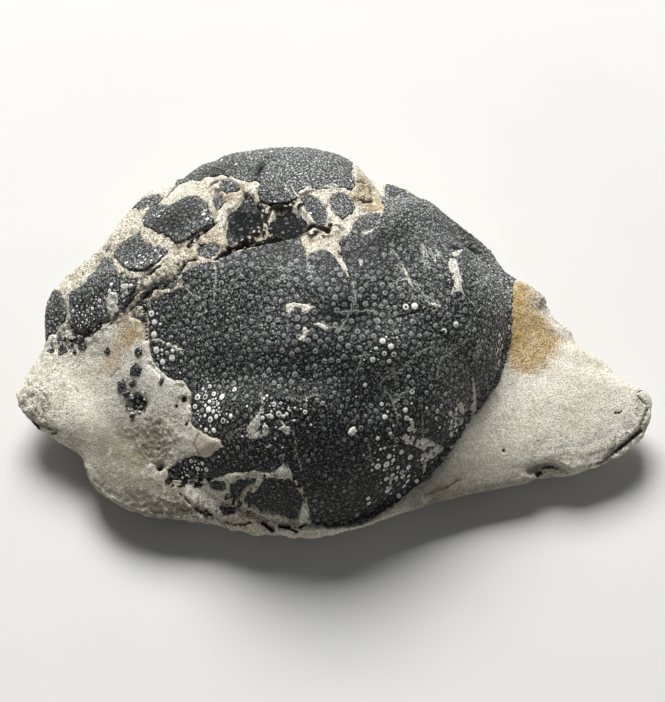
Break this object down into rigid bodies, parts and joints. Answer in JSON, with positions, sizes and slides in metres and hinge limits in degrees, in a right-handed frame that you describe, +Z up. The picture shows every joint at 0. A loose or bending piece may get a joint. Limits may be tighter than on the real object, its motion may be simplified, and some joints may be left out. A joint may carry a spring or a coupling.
{
  "type": "fossil crab in its stone",
  "caption": "Loose marl nodule with a fossil crab's domed, warty dark shell on it, the front left broken into plates with pale stone between them.",
  "frame": {"origin": "middle of the footprint's box, on the flat base that the nodule rests on", "axes": "+X along the long wing of stone, +Y towards the crab's front edge, +Z up through the crown of the shell"},
  "size_m": [0.0946, 0.0644, 0.0313],
  "materials": {
    "marl": "dry matte cream-grey marl with a fine grain, ochre stains and a rough broken edge",
    "shell": "dark slate mineralised shell, semi-matte, closely set with small domed granules, some worn white"
  },
  "bodies": {
    "root": {"matrix": "marl", "carapace_shield": "shell", "front_cap": "shell", "front_left_plate": "shell", "front_sliver": "shell", "front_chip": "shell", "gap_chip": "shell", "side_plate_upper": "shell", "side_plate_lower": "shell", "rim_plate": "shell", "rim_flake": "shell", "sunken_plate_left": "shell", "sunken_plate_right": "shell", "middle_chip": "shell", "right_chip": "shell", "rear_plate": "shell", "rear_chip": "shell", "rear_flake": "shell"}
  },
  "joints": []
}
